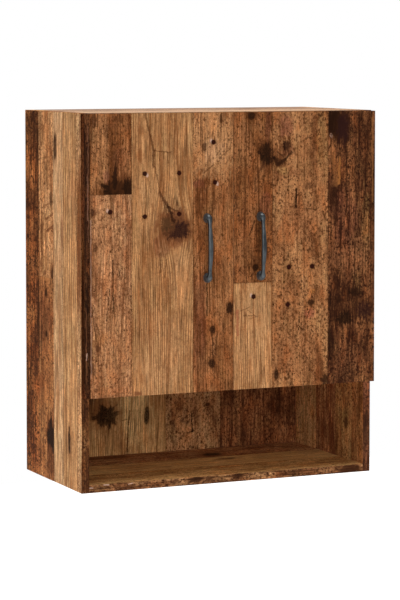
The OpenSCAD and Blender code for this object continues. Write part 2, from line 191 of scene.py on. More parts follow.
def wood(name, axes, kind, base, dark, light, seed, span=None, ends=None, marks=(), crust=0.0,
         rough=0.6, gloss=0.03, coarse=1.0):
    """A plank material, kept in woods under its name.

    axes names the row axes across and along the grain, such as "xz". base, dark and light are
    its colours. span and ends are the plank's limits across and along, where a joint darkens
    it, and crust is a ragged dark rim inside the first of them. coarse widens the grain.
    Marks are ("patch" or "strip", a, g, half widths, depth, colour) under the grain, and on top
    ("nail", a, g, side of its chip or 0), ("line", a, g, end a, end g, width, depth, colour),
    ("knot" or "star", a, g, radii, depth, colour) and ("ring", a, g, radius, width, depth,
    colour). A colour may be left out of a line, knot or star."""
    k = KINDS[kind]
    s = Shader(name)
    P = s.vector("MULTIPLY", s.place, (MM, MM, MM))
    across, along = "xyz".index(axes[0]), "xyz".index(axes[1])
    xyz = s.split(P)
    a, g, d = xyz[across], xyz[along], xyz[3 - across - along]
    P = s.join(a, g, d)

    def field(sa, sg, sd, detail=2.0, rough=0.5, shift=0.0, at=None):
        v = s.vector("MULTIPLY_ADD", at or P, (sa / coarse, sg, sd / coarse),
                     (seed * 7.31 + shift, seed * 3.17, shift))
        return s.noise(v, detail, rough)

    def polar(da, dg, ra, rg):
        return s.vector("LENGTH", s.vector("DIVIDE", s.join(da, dg, 0.0), (ra, rg, 1.0)))

    # ragged edges for knots and stains
    ragged = s.math("SUBTRACT", field(0.11, 0.06, 0.11, 3.0, 0.6, 40.0), 0.5)
    grit = s.math("SUBTRACT", field(0.42, 0.30, 0.42, 2.0, 0.65, 60.0), 0.5)

    # the grain wanders, and bends round the knots
    bent = s.math("MULTIPLY_ADD", s.math("SUBTRACT", field(0.012, 0.0022, 0.012, 1.0), 0.5),
                  k["wander"] * 2.0, a)
    bent = s.math("MULTIPLY_ADD", s.math("SUBTRACT", field(0.05, 0.008, 0.05, 1.0, 0.5, 9.0), 0.5),
                  k["wander"] * 0.15, bent)
    for m in marks:
        if m[0] in ("knot", "star"):
            _, ka, kg, ra, rg, *_ = m
            da = s.math("SUBTRACT", a, ka)
            dg = s.math("SUBTRACT", g, kg)
            q = s.math("POWER", polar(da, dg, ra * 1.9, rg * 2.6), 2.0)
            pull = s.math("DIVIDE", da, s.math("ADD", s.math("ABSOLUTE", da), 4.0))
            pull = s.math("MULTIPLY", pull, s.math("EXPONENT", s.math("MULTIPLY", q, -1.0)))
            bent = s.math("MULTIPLY_ADD", pull, -0.3 * ra, bent)
    G = s.join(bent, g, d)

    wave = s.math("MULTIPLY_ADD", grit, 1.4, s.math("MULTIPLY", bent, 2 * math.pi / k["ring"] / coarse))
    rings = s.math("MULTIPLY_ADD", s.math("SINE", wave), 0.5, 0.5)
    rings = s.math("POWER", rings, 1.8)
    # rings fade in and out
    rings = s.math("MULTIPLY", rings, s.smooth(field(0.03, 0.004, 0.03, 1.0, 0.5, 21.0), 0.3, 0.62))
    streak = field(0.16, 0.0045, 0.16, 5.0, 0.72, 3.0, G)
    fibre = s.math("SUBTRACT", field(0.5, 0.018, 0.5, 3.0, 0.7, 5.0, G), 0.5)
    blotch = field(0.030, 0.011, 0.030, 3.0, 0.6, 13.0)
    hue = field(0.045, 0.016, 0.045, 2.0, 0.6, 17.0)
    mottle = s.math("SUBTRACT", field(0.26, 0.17, 0.26, 3.0, 0.62, 53.0), 0.5)
    dash = field(0.21, 0.045, 0.21, 3.0, 0.6, 71.0)

    col = s.mix(s.smooth(blotch, 0.44, 0.66, k["blotch"]), base, light)
    col = s.mix(s.smooth(blotch, 0.50, 0.32, k["blotch"]), col, dark)
    for m in marks:
        # a patch (oval) or strip (square) of another tone lies under the grain
        if m[0] in ("patch", "strip"):
            what, ma, mg, ra, rg, depth, tint = m
            da = s.math("SUBTRACT", a, ma)
            dg = s.math("SUBTRACT", g, mg)
            if what == "strip":
                r = s.math("MAXIMUM", s.math("ABSOLUTE", s.math("DIVIDE", da, ra)),
                           s.math("ABSOLUTE", s.math("DIVIDE", dg, rg)))
                r = s.math("MULTIPLY_ADD", ragged, 2.2 / ra, r)
            else:
                r = s.math("MULTIPLY_ADD", ragged, 1.6, polar(da, dg, ra, rg))
            r = s.math("MULTIPLY_ADD", fibre, 1.2, r)
            col = s.mix(s.smooth(r, 1.15, 0.65, depth), col, tint)
    col = s.mix(s.smooth(streak, 0.49, 0.64, k["streak"]), col, dark)
    col = s.mix(s.smooth(streak, 0.47, 0.33, k["streak"] * 0.6), col, light)
    col = s.mix(s.math("MULTIPLY", rings, k["rings"]), col, dark)
    col = s.mix(s.smooth(hue, 0.50, 0.68, k["hue"]), col, (1.14, 0.90, 0.72), "MULTIPLY")
    col = s.mix(s.smooth(hue, 0.50, 0.32, k["hue"]), col, (0.84, 0.94, 0.92), "MULTIPLY")
    tone = s.math("MULTIPLY_ADD", fibre, 1.6 * k["fibre"], 1.0)
    tone = s.math("MULTIPLY", tone, s.math("MULTIPLY_ADD", grit, 1.5 * k["grit"], 1.0))
    tone = s.math("MULTIPLY", tone, s.math("MULTIPLY_ADD", mottle, -1.6 * k["mottle"], 1.0))
    tone = s.math("MAXIMUM", tone, 0.15)
    col = s.vector("MULTIPLY", col, s.join(tone, tone, tone))
    col = s.mix(s.smooth(grit, 0.11, 0.19, min(1.0, k["grit"] * 0.8)), col, scaled(dark, 0.4))
    flecks = s.smooth(mottle, k["fleck"], k["fleck"] + 0.07, min(1.0, k["mottle"]))
    col = s.mix(flecks, col, scaled(dark, 1.05))
    col = s.mix(s.smooth(dash, 0.55, 0.66, k["dash"]), col, scaled(dark, 0.8))
    height = s.math("MULTIPLY", fibre, 0.35)

    # worm tracks and holes: small irregular dark flecks, in drifts
    w = s.vector("MULTIPLY_ADD", P, (0.22, 0.165, 0.22), (seed, seed * 1.7, 0.0))
    shake = s.tree.nodes.new("ShaderNodeTexNoise")
    s.feed(shake.inputs["Vector"], s.vector("MULTIPLY", P, (0.33, 0.33, 0.33)))
    shake.inputs["Detail"].default_value = 1.0
    w = s.vector("MULTIPLY_ADD", shake.outputs["Color"], (1.1, 1.1, 1.1), w)
    far, tint = s.cells(w)
    drift = s.smooth(field(0.022, 0.012, 0.022, 2.0, 0.6, 31.0), 0.34, 0.60)
    drift = s.math("MULTIPLY_ADD", drift, 0.6 * k["dense"], 0.45 * k["dense"])
    chance = s.split(tint)
    size = s.math("MULTIPLY", s.math("MULTIPLY_ADD", chance[0], 0.42, -0.02), drift)
    hole = s.smooth(s.math("SUBTRACT", size, far), -0.07, 0.05, k["worms"])
    hole = s.math("MULTIPLY", hole, s.math("MULTIPLY_ADD", chance[1], 0.7, 0.35))
    track = s.math("ABSOLUTE", s.math("SUBTRACT", field(0.085, 0.06, 0.085, 2.0, 0.6, 77.0), 0.5))
    gate = s.smooth(field(0.06, 0.05, 0.06, 1.0, 0.5, 91.0), 0.52, 0.62)
    track = s.math("MULTIPLY", s.smooth(track, 0.019, 0.007, k["worms"] * 0.85), gate)
    hole = s.math("MAXIMUM", hole, s.math("MULTIPLY", track, drift))
    col = s.mix(hole, col, scaled(dark, 0.5))
    height = s.math("MULTIPLY_ADD", hole, -1.0, height)

    for m in marks:
        what, ma, mg = m[:3]
        da = s.math("SUBTRACT", a, ma)
        dg = s.math("SUBTRACT", g, mg)
        if what == "nail":
            # a driven nail: a dark head in a ragged dark ring, and a pale chip on one side
            side = m[3] if len(m) > 3 else -1
            r = s.math("MULTIPLY_ADD", grit, 3.0, polar(da, dg, 1.0, 1.0))
            col = s.mix(s.smooth(r, 9.0, 3.5, 0.55), col, dark)
            if side:
                chip = polar(s.math("SUBTRACT", da, 5.0 * side), s.math("ADD", dg, 2.5 * side), 1.0, 1.5)
                chip = s.math("MULTIPLY_ADD", grit, 4.0, chip)
                col = s.mix(s.smooth(chip, 3.6, 1.4, 0.65), col, CHIP)
            head = s.smooth(r, 5.3, 3.9, 0.97)
            col = s.mix(head, col, NAIL)
            height = s.math("MULTIPLY_ADD", head, -1.6, height)
        elif what == "line":
            # a crack or streak from (ma, mg) to (ea, eg)
            _, _, _, ea, eg, width, depth, *rest = m
            tint = rest[0] if rest else BLACK
            la, lg = ea - ma, eg - mg
            t = s.math("ADD", s.math("MULTIPLY", da, la / (la * la + lg * lg)),
                       s.math("MULTIPLY", dg, lg / (la * la + lg * lg)), clamp=True)
            ra = s.math("MULTIPLY_ADD", t, -la, da)
            rg = s.math("MULTIPLY_ADD", t, -lg, dg)
            ra = s.math("MULTIPLY_ADD", ragged, 5.0 + width, ra)
            r = s.math("MULTIPLY_ADD", grit, 1.5 * width, s.vector("LENGTH", s.join(ra, rg, 0.0)))
            cover = s.smooth(r, width, width * 0.3, depth)
            col = s.mix(cover, col, tint)
            height = s.math("MULTIPLY_ADD", cover, -0.8, height)
        elif what in ("knot", "star"):
            _, _, _, ra, rg, depth, *rest = m
            tint = rest[0] if rest else KNOT
            r = s.math("MULTIPLY_ADD", ragged, 1.3, polar(da, dg, ra, rg))
            if what == "star":
                # rays run out from the heart
                turn = s.math("ARCTAN2", s.math("DIVIDE", dg, rg), s.math("DIVIDE", da, ra))
                ray = s.noise(s.join(s.math("MULTIPLY", turn, 3.2), s.math("MULTIPLY", r, 0.7),
                                     seed + ma), 3.0, 0.6)
                r = s.math("MULTIPLY_ADD", s.math("SUBTRACT", ray, 0.5), 1.5, r)
                r = s.math("MULTIPLY_ADD", fibre, 1.4, r)
            whorl = s.math("MULTIPLY_ADD", s.math("SINE", s.math("MULTIPLY", r, 17.0)), 0.14, 0.86)
            col = s.mix(s.smooth(r, 1.9, 0.8, depth * 0.6), col, dark)
            core = s.math("MULTIPLY", s.smooth(r, 1.1, 0.7, depth), whorl)
            col = s.mix(core, col, tint)
            height = s.math("MULTIPLY_ADD", core, -0.8, height)
        elif what == "ring":
            # a curl in the grain
            _, _, _, radius, width, depth, tint = m
            r = s.math("MULTIPLY_ADD", ragged, radius * 0.9, polar(da, dg, 1.0, 0.9))
            r = s.math("ABSOLUTE", s.math("SUBTRACT", r, radius))
            col = s.mix(s.smooth(r, width, width * 0.3, depth), col, tint)

    # darker joints between planks
    seam = None
    for limits, t in ((span, a), (ends, g)):
        for i, at in enumerate(limits or ()):
            if at is None:
                continue
            r = s.math("SUBTRACT", t, at) if i == 0 else s.math("SUBTRACT", at, t)
            near = s.smooth(s.math("MULTIPLY_ADD", grit, 6.0, r), 1.6, 0.3, 0.45)
            if crust and i == 0 and t is a:
                deep = s.smooth(s.math("MULTIPLY_ADD", ragged, 16.0, r), 7.5, 1.5, crust)
                near = s.math("MAXIMUM", near, deep)
            seam = near if seam is None else s.math("MAXIMUM", seam, near)
    if seam is not None:
        col = s.mix(seam, col, scaled(dark, 0.35))
        height = s.math("MULTIPLY_ADD", seam, -0.8, height)

    s.set(Base_Color=col, IOR=1.45, Specular_IOR_Level=gloss)
    s.set(Roughness=s.math("MULTIPLY_ADD", fibre, 0.4, rough))
    s.bump(height, 0.35, 0.0004)
    woods[name] = s.mat
    return name


# plank colours, linear: (base, dark grain, light grain)
PINE = ((0.35, 0.163, 0.062), (0.17, 0.060, 0.019), (0.47, 0.245, 0.105))
TAN = ((0.33, 0.145, 0.056), (0.12, 0.041, 0.013), (0.43, 0.21, 0.088))
RUST = ((0.26, 0.099, 0.036), (0.080, 0.024, 0.007), (0.37, 0.160, 0.064))
BROWN = ((0.215, 0.075, 0.023), (0.070, 0.021, 0.006), (0.31, 0.125, 0.047))
UMBER = ((0.125, 0.043, 0.016), (0.030, 0.009, 0.0035), (0.24, 0.092, 0.033))
SOOT = ((0.058, 0.019, 0.007), (0.015, 0.005, 0.002), (0.12, 0.044, 0.016))
OLIVE = ((0.33, 0.172, 0.062), (0.11, 0.046, 0.015), (0.43, 0.24, 0.095))
EDGE = ((0.15, 0.054, 0.017), (0.045, 0.014, 0.005), (0.36, 0.16, 0.060))
PALE = ((0.54, 0.285, 0.130), (0.31, 0.130, 0.050), (0.64, 0.37, 0.19))
ORANGE = (0.38, 0.14, 0.035)

# Plank joints in mm: x on the door fronts and the back sheet, y on the outside of each side,
# the inside walls, the flat boards and the top. An end is the z where two planks meet end to end.
DOOR_X = (-289, -206.5, -82.5, 81.5, 199)
SIDE_Y = (-272.5, -202.5, -152.5, -75.5)
RIGHT_Y = (-238, -170, -88)
WALL_Y = (-247, -178, -95)
FLAT_Y = (-196, -104)
TOP_Y = -180
BACK_X = (-170, -5, 115)
LEFT_END = -94
RIGHT_END = -266.5
SIDE_END = -260

# door fronts, left to right
wood("front_0", "xz", "dark", *SOOT, seed=1, span=(None, DOOR_X[0]), marks=[
    ("line", -292, 30, -292, -180, 1.3, 0.5, (0.20, 0.085, 0.045)),
    ("line", -298, 20, -298, -240, 1.6, 0.6, BLACK), ("patch", -294, -320, 6, 90, 0.7, BLACK),
    ("line", -294, -60, -293, -140, 1.0, 0.5, (0.26, 0.13, 0.08)),
    ("line", -295, -384, -296, -396, 1.2, 0.6, CHIP),
    ("line", -297, -300, -296, -440, 1.2, 0.5, (0.16, 0.06, 0.025))])
wood("front_edge", "yz", "dark", (0.098, 0.029, 0.012), (0.018, 0.005, 0.0015), (0.13, 0.045, 0.014),
     seed=10, gloss=0.0, marks=[
    ("patch", -302, -340, 14, 120, 0.7, SOOT[1])])
# painted light: the edges where the doors meet are paler than the fronts beside them, lifting the shade
# in the narrow gap between the doors
wood("meeting_edge_painted_light", "yz", "mid", (0.49, 0.23, 0.095), RUST[0], (0.58, 0.31, 0.14), seed=19)
wood("front_1_top", "xz", "mid", *BROWN, seed=2, span=DOOR_X[:2], ends=(LEFT_END, None), marks=[
    ("strip", -270, -10, 18, 80, 0.7, (0.39, 0.175, 0.070)), ("patch", -281, 42, 9, 13, 0.85, SOOT[0]),
    ("patch", -228, 40, 20, 30, 0.4, RUST[0]), ("patch", -228, -40, 20, 34, 0.4, (0.24, 0.085, 0.035)),
    ("patch", -236, -88, 36, 22, 0.7, UMBER[1]), ("patch", -256, -62, 8, 14, 0.5, (0.33, 0.13, 0.075)),
    ("star", -238, -86, 27, 21, 1.0, BLACK), ("star", -214, -85, 12, 19, 1.0, BLACK),
    ("star", -240, -64, 6, 22, 0.95, BLACK)])
wood("front_1_low", "xz", "mid", (0.37, 0.162, 0.069), (0.145, 0.050, 0.018), (0.46, 0.23, 0.11),
     seed=3, span=DOOR_X[:2], ends=(None, LEFT_END), crust=0.35, marks=[
    ("nail", -249, -126), ("star", -283, -125, 4, 6, 0.8, NAIL),
    ("patch", -256, -170, 36, 70, 0.45, (0.46, 0.225, 0.10)),
    ("patch", -250, -390, 52, 90, 0.5, (0.32, 0.135, 0.050)),
    ("line", -287, -140, -287, -430, 1.3, 0.35, CHIP), ("line", -244, -214, -243, -308, 1.6, 0.85),
    ("line", -250, -268, -256, -326, 1.5, 0.75), ("line", -232, -228, -231, -244, 1.7, 0.65),
    ("line", -209, -150, -209, -430, 1.4, 0.45, TAN[1]), ("knot", -279, -190, 5, 8, 0.7),
    ("line", -285, -300, -277, -362, 1.9, 0.75, SOOT[0]),
    ("line", -286, -318, -280, -300, 1.6, 0.7, SOOT[0]),
    ("line", -276, -330, -270, -348, 2.0, 0.7, SOOT[0]),
    ("line", -284, -262, -279, -290, 1.8, 0.6, UMBER[0]), ("star", -274, -374, 5, 9, 0.85, SOOT[0]),
    ("star", -277, -453, 5, 4, 0.6, SOOT[0]), ("patch", -283, -415, 5, 18, 0.7, SOOT[0]),
    ("patch", -250, -456, 34, 8, 0.6, (0.40, 0.14, 0.05)), ("patch", -270, -362, 16, 14, 0.35, ORANGE)])
wood("front_2", "xz", "pine", (0.338, 0.163, 0.064), PINE[1], PINE[2], seed=4, span=DOOR_X[1:3], marks=[
    ("patch", -120, -160, 42, 38, 0.9, (0.115, 0.034, 0.018)),
    ("patch", -146, -188, 17, 26, 0.6, (0.17, 0.055, 0.028)),
    ("patch", -106, -136, 12, 14, 0.7, (0.085, 0.027, 0.020)),
    ("patch", -184, 0, 18, 46, 0.35, RUST[0]), ("patch", -187, 20, 8, 10, 0.55, BROWN[0]),
    ("patch", -189, -22, 11, 12, 0.65, BROWN[0]), ("patch", -162, -317, 14, 5, 0.35, PALE[1]),
    ("patch", -158, -342, 10, 14, 0.4, RUST[0]), ("patch", -150, -390, 60, 90, 0.4, PALE[0]),
    ("patch", -110, -250, 24, 60, 0.3, PALE[0]), ("patch", -178, -120, 24, 60, 0.25, PALE[0]),
    ("knot", -118, -160, 30, 27, 0.9, (0.034, 0.010, 0.007)),
    ("star", -115, -163, 25, 18, 0.95, (0.011, 0.0035, 0.0035)),
    ("star", -137, -152, 13, 13, 0.7, (0.030, 0.017, 0.007)),
    ("line", -150, -93, -133, -119, 4.4, 0.75, SOOT[0]),
    ("line", -133, -119, -107, -131, 3.0, 0.8, SOOT[0]),
    ("line", -134, -117, -122, -146, 4.8, 0.85, SOOT[1]),
    ("line", -142, -108, -133, -142, 3.2, 0.6, SOOT[0]),
    ("line", -150, -205, -148, -240, 2.4, 0.6, BROWN[1]),
    ("line", -137, -205, -140, -250, 2.0, 0.55, BROWN[1]),
    ("line", -179, 52, -168, 12, 3.2, 0.7, BROWN[1]),
    ("line", -168, 12, -162, -16, 3.4, 0.75, BROWN[1]),
    ("line", -162, -16, -163, -45, 3.2, 0.75, BROWN[1]),
    ("line", -159, -45, -150, -93, 2.2, 0.55, BROWN[1]),
    ("line", -160, -15, -129, -19, 2.2, 0.6, BROWN[1]),
    ("line", -151, -16, -151, -34, 1.8, 0.6, BROWN[1]),
    ("line", -142, -17, -142, -30, 1.8, 0.55, BROWN[1]),
    ("line", -134, -18, -133, -38, 1.8, 0.6, BROWN[1]),
    ("line", -180, -64, -178, -96, 1.6, 0.5, BROWN[1]),
    ("line", -170, -72, -168, -92, 1.6, 0.45, BROWN[1]), ("nail", -180, -57, 1), ("nail", -111, -57, 0),
    ("nail", -180, -136, 0), ("nail", -111, -133, 0),
    ("star", -196, -463, 8, 4, 0.7, (0.12, 0.035, 0.014))])
wood("front_3", "xz", "soft", (0.233, 0.083, 0.027), (0.072, 0.020, 0.005), (0.342, 0.143, 0.054),
     seed=5, span=(DOOR_X[2], None), marks=[
    ("patch", -42, 4, 64, 76, 0.9, (0.42, 0.202, 0.084)),
    ("patch", -40, -18, 24, 24, 0.5, (0.50, 0.26, 0.13)),
    ("strip", -69, -330, 14, 92, 0.75, (0.150, 0.048, 0.020)),
    ("strip", -69, -440, 14, 26, 0.35, (0.17, 0.055, 0.020)),
    ("patch", -71, -78, 14, 9, 0.7, (0.13, 0.035, 0.018)),
    ("patch", -66, -110, 14, 40, 0.55, scaled(RUST[1], 1.3)), ("patch", -60, 41, 3, 3, 0.8, SOOT[0]),
    ("patch", -20, -420, 20, 40, 0.4, BROWN[0]), ("line", -55, -265, -54, -325, 1.6, 0.8),
    ("nail", -41, -1), ("nail", -38, -76, 1), ("knot", -60, -10, 4, 8, 0.7),
    ("knot", -26, 43, 3, 9, 0.75), ("line", -30, -32, -6, -13, 2.0, 0.6, BROWN[1]),
    ("line", -60, -57, -41, -43, 2.2, 0.7, BROWN[1]), ("line", -33, -24, -26, -14, 1.8, 0.5, BROWN[1]),
    ("line", -50, -70, -44, -60, 1.8, 0.5, BROWN[1]),
    ("line", -80, -232, -62, -188, 1.7, 0.65, SOOT[0]),
    ("line", -40, -95, -39, -125, 1.8, 0.6, BROWN[1]),
    ("line", -22, -120, -22, -150, 1.6, 0.5, BROWN[1]), ("star", -7, -313, 8, 13, 1.0, BLACK),
    ("knot", -44, -352, 7, 8, 0.95, BLACK), ("line", -44, -360, -42, -405, 2.0, 0.85, UMBER[1]),
    ("line", -36, -366, -37, -400, 1.5, 0.6, UMBER[1]), ("knot", -45, -415, 7, 9, 0.95, BLACK)])
wood("front_4_top", "xz", "mid", *BROWN, seed=6, span=(None, DOOR_X[3]), ends=(RIGHT_END, None), marks=[
    ("patch", 20, 0, 14, 60, 0.35, TAN[0]), ("patch", 66, -26, 20, 30, 0.5, SOOT[0]),
    ("patch", 73, 26, 8, 30, 0.5, (0.15, 0.045, 0.026)),
    ("patch", 66, -118, 15, 26, 0.55, (0.17, 0.048, 0.024)), ("patch", 48, -226, 12, 12, 0.5, SOOT[0]),
    ("patch", 26, -180, 22, 60, 0.35, RUST[0]), ("knot", 37, 47, 9, 8, 0.95, BLACK),
    ("star", 68, -25, 16, 22, 1.0, BLACK), ("line", 64, -40, 50, -64, 2.8, 0.65, SOOT[0]),
    ("line", 62, -14, 52, 8, 2.0, 0.45, SOOT[0]), ("line", 31, -65, 31, -89, 1.7, 0.65, UMBER[1]),
    ("line", 45, -68, 46, -95, 1.7, 0.65, UMBER[1]), ("line", 5, -98, 5, -124, 2.0, 0.65, UMBER[1]),
    ("line", 16, -31, 16, -46, 1.6, 0.55, UMBER[1]), ("line", 44, -150, 33, -178, 2.0, 0.7),
    ("knot", 46, -238, 7, 7, 0.95, BLACK), ("ring", 72, -206, 5, 1.8, 0.8, SOOT[0]),
    ("line", 6, -90, 7, -262, 1.3, 0.5, BROWN[1])])
wood("front_4_low", "xz", "pine", *PINE, seed=7, span=(None, DOOR_X[3]), ends=(None, RIGHT_END), marks=[
    ("patch", 41, -370, 60, 120, 0.7, (0.455, 0.238, 0.104)), ("nail", 42, -293),
    ("line", 16, -319, 35, -312, 1.4, 0.6, BROWN[1]), ("line", 21, -328, 47, -330, 1.4, 0.6, BROWN[1]),
    ("line", 30, -318, 44, -328, 1.4, 0.6, BROWN[1]), ("line", 32, -335, 49, -331, 1.3, 0.5, BROWN[1]),
    ("line", 26, -322, 30, -334, 1.2, 0.5, BROWN[1]),
    ("line", 8, -318, 9, -364, 3.6, 0.6, (0.26, 0.065, 0.03)),
    ("line", 14, -355, 24, -354, 1.4, 0.4, BROWN[0]), ("line", 70, -280, 71, -450, 1.0, 0.25, BROWN[0])])
wood("front_5", "xz", "worm", (0.305, 0.124, 0.046), (0.092, 0.029, 0.009), (0.41, 0.19, 0.076), seed=8,
     span=DOOR_X[3:], marks=[
    ("patch", 110, 26, 16, 26, 0.55, (0.17, 0.048, 0.030)),
    ("patch", 102, -57, 14, 8, 0.6, (0.36, 0.18, 0.062)),
    ("patch", 112, -16, 14, 16, 0.7, (0.12, 0.038, 0.018)),
    ("patch", 186, 0, 12, 60, 0.45, (0.33, 0.17, 0.06)),
    ("patch", 140, -150, 50, 40, 0.35, (0.24, 0.088, 0.035)),
    ("patch", 132, -62, 16, 9, 0.4, (0.20, 0.065, 0.026)), ("patch", 160, -88, 14, 8, 0.5, SOOT[0]),
    ("patch", 167, -288, 7, 6, 0.6, ORANGE), ("patch", 160, -330, 11, 10, 0.6, (0.33, 0.10, 0.06)),
    ("patch", 130, -400, 44, 50, 0.3, (0.24, 0.09, 0.034)), ("line", 84, -32, 92, -46, 4.4, 0.95),
    ("line", 92, -46, 108, -36, 5.4, 0.95), ("line", 108, -36, 121, -22, 3.6, 0.75),
    ("star", 110, -10, 8, 13, 0.85, SOOT[1]), ("line", 118, 0, 119, -12, 1.8, 0.6, SOOT[1]),
    ("star", 97, -41, 9, 7, 0.6, SOOT[1]), ("line", 105, -2, 106, -18, 2.2, 0.8, SOOT[1]),
    ("line", 92, -22, 104, -30, 2.2, 0.6, SOOT[1]), ("line", 131, -92, 131, -126, 2.4, 0.95),
    ("line", 132, -128, 174, -132, 1.4, 0.65), ("line", 148, 54, 149, -465, 1.2, 0.5, SOOT[0]),
    ("line", 138, -326, 138, -352, 1.8, 0.75), ("nail", 116, -240, 0), ("nail", 165, -240, 0),
    ("nail", 114, -311, 0), ("knot", 164, -309, 7, 7, 0.95, BLACK),
    ("line", 164, -318, 153, -339, 1.8, 0.65, SOOT[0]), ("knot", 90, -442, 4.5, 12, 0.95, BLACK),
    ("star", 194, -460, 9, 12, 0.9, BLACK)])
wood("front_6", "xz", "dark", *UMBER, seed=9, span=(DOOR_X[4], None), marks=[
    ("patch", 214, 26, 24, 40, 0.95, SOOT[1]), ("patch", 232, 20, 16, 34, 0.8, (0.035, 0.011, 0.008)),
    ("strip", 206, -24, 8, 34, 0.85, (0.30, 0.115, 0.042)),
    ("strip", 214, -58, 9, 34, 0.75, (0.24, 0.09, 0.030)), ("patch", 205, 8, 3.5, 5, 0.9, CHIP),
    ("patch", 290, -30, 8, 90, 0.4, (0.17, 0.06, 0.02)),
    ("patch", 280, -170, 10, 80, 0.6, (0.27, 0.13, 0.045)),
    ("patch", 262, -250, 12, 50, 0.35, (0.27, 0.13, 0.045)),
    ("patch", 262, -120, 8, 120, 0.35, SOOT[1]), ("patch", 248, -320, 52, 30, 0.8, SOOT[0]),
    ("patch", 225, -230, 26, 34, 0.35, BROWN[0]),
    ("patch", 240, -425, 26, 44, 0.45, (0.19, 0.07, 0.028)), ("patch", 208, -380, 9, 34, 0.6, SOOT[1]),
    ("line", 224, -34, 222, -84, 3.2, 0.65, ORANGE),
    ("line", 208, -8, 216, -86, 6.0, 0.36, (0.28, 0.105, 0.033)),
    ("line", 203, -90, 202, -112, 2.4, 0.7, SOOT[0]), ("line", 203, -290, 204, -420, 2.6, 0.8, SOOT[1]),
    ("line", 237, 10, 240, -160, 3.0, 0.6, SOOT[1]),
    ("line", 294, 40, 295, -120, 2.6, 0.5, (0.25, 0.10, 0.03)), ("star", 213, 34, 20, 26, 0.9, SOOT[1]),
    ("star", 230, 24, 12, 26, 0.75, (0.022, 0.007, 0.006)),
    ("patch", 246, -222, 50, 40, 0.55, (0.24, 0.092, 0.038)),
    ("patch", 236, -150, 30, 60, 0.4, (0.19, 0.06, 0.030)), ("star", 234, -340, 19, 14, 0.9, BLACK),
    ("star", 258, -292, 15, 9, 0.75, BLACK), ("star", 276, -330, 14, 18, 0.6, (0.022, 0.007, 0.006)),
    ("star", 222, -306, 10, 8, 0.6, SOOT[1])])

# left side, back to front
wood("side_0", "yz", "dark", (0.325, 0.099, 0.029), (0.052, 0.016, 0.0055), (0.44, 0.162, 0.051),
     seed=11, coarse=2.2, marks=[
    ("patch", -40, 20, 44, 60, 0.7, SOOT[0]), ("patch", -50, -210, 26, 60, 0.5, (0.11, 0.032, 0.012)),
    ("strip", -66, -60, 11, 200, 0.7, SOOT[0]), ("line", -77, 55, -77, -645, 2.6, 0.7, SOOT[1]),
    ("line", -30, -180, -28, -640, 4.0, 0.55, UMBER[1]),
    ("line", -52, -260, -50, -640, 3.0, 0.55, UMBER[1]),
    ("line", -12, -100, -14, -420, 4.0, 0.5, SOOT[1])])
wood("side_1_top", "yz", "mid", (0.525, 0.235, 0.092), (0.20, 0.067, 0.022), (0.63, 0.325, 0.145),
     seed=12, coarse=1.8, span=SIDE_Y[2:], marks=[
    ("line", -150, -138, -112, -150, 4.4, 0.75, (0.15, 0.045, 0.016)),
    ("line", -150, -160, -118, -172, 4.2, 0.7, (0.15, 0.045, 0.016)),
    ("line", -134, -118, -100, -126, 3.0, 0.6, (0.15, 0.045, 0.016)),
    ("line", -84, 52, -84, -90, 4.0, 0.75, UMBER[0]),
    ("line", -90, -120, -92, -250, 3.0, 0.6, BROWN[1]),
    ("line", -118, 20, -121, -90, 3.0, 0.5, BROWN[0]), ("knot", -141, -112, 7, 18, 0.7, UMBER[1]),
    ("knot", -146, -252, 6, 14, 0.85), ("patch", -90, 20, 14, 24, 0.5, BROWN[0])])
wood("side_1_low", "yz", "mid", (0.375, 0.134, 0.044), (0.10, 0.031, 0.010), (0.52, 0.235, 0.085),
     seed=13, coarse=1.8, span=SIDE_Y[2:], marks=[
    ("knot", -112, -289, 6, 8, 0.95, BLACK), ("knot", -114, -369, 6, 7, 0.95, BLACK),
    ("patch", -136, -560, 26, 38, 0.7, SOOT[0]), ("star", -137, -557, 20, 30, 1.0, BLACK),
    ("line", -96, -420, -99, -600, 3.4, 0.6, BROWN[1]),
    ("line", -128, -440, -124, -520, 3.0, 0.6, BROWN[1]),
    ("line", -86, -290, -88, -440, 3.4, 0.6, UMBER[1]), ("patch", -88, -480, 10, 60, 0.5, UMBER[0]),
    ("patch", -105, -345, 40, 60, 0.4, (0.2, 0.06, 0.024))])
wood("side_2", "yz", "pine", (0.66, 0.38, 0.185), (0.33, 0.15, 0.062), (0.74, 0.46, 0.25), seed=14,
     coarse=1.8, span=SIDE_Y[1:3], marks=[
    ("knot", -163, -12, 8, 27, 1.0, (0.030, 0.010, 0.004)),
    ("patch", -198, -165, 7, 38, 0.65, (0.33, 0.11, 0.05)),
    ("line", -201, -250, -201, -630, 3.0, 0.6, BROWN[1]),
    ("line", -172, 50, -175, -180, 2.6, 0.5, (0.30, 0.12, 0.05)),
    ("line", -185, -200, -180, -460, 2.6, 0.45, (0.30, 0.12, 0.05)),
    ("patch", -165, -470, 10, 90, 0.4, (0.38, 0.17, 0.07)),
    ("line", -192, -560, -184, -640, 2.6, 0.55, BROWN[0])])
wood("side_3", "yz", "pine", (0.545, 0.282, 0.118), (0.28, 0.115, 0.042), (0.65, 0.375, 0.172), seed=15,
     coarse=2.0, span=SIDE_Y[:2], marks=[
    ("knot", -232, -557, 6.5, 28, 1.0, BLACK), ("line", -268, 50, -269, -180, 3.0, 0.6, BROWN[1]),
    ("line", -216, -330, -218, -640, 2.6, 0.55, BROWN[1]),
    ("line", -246, -220, -243, -480, 2.4, 0.45, BROWN[0]),
    ("line", -255, 40, -252, -150, 2.2, 0.45, BROWN[0]),
    ("line", -262, -360, -264, -500, 2.2, 0.45, BROWN[0]),
    ("patch", -250, -100, 22, 50, 0.35, (0.36, 0.15, 0.07))])
wood("side_4", "yz", "mid", (0.52, 0.27, 0.12), (0.22, 0.08, 0.03), (0.60, 0.34, 0.16), seed=16,
     coarse=1.6, marks=[
    ("strip", -284, -160, 12, 120, 0.95, (0.175, 0.052, 0.013))])

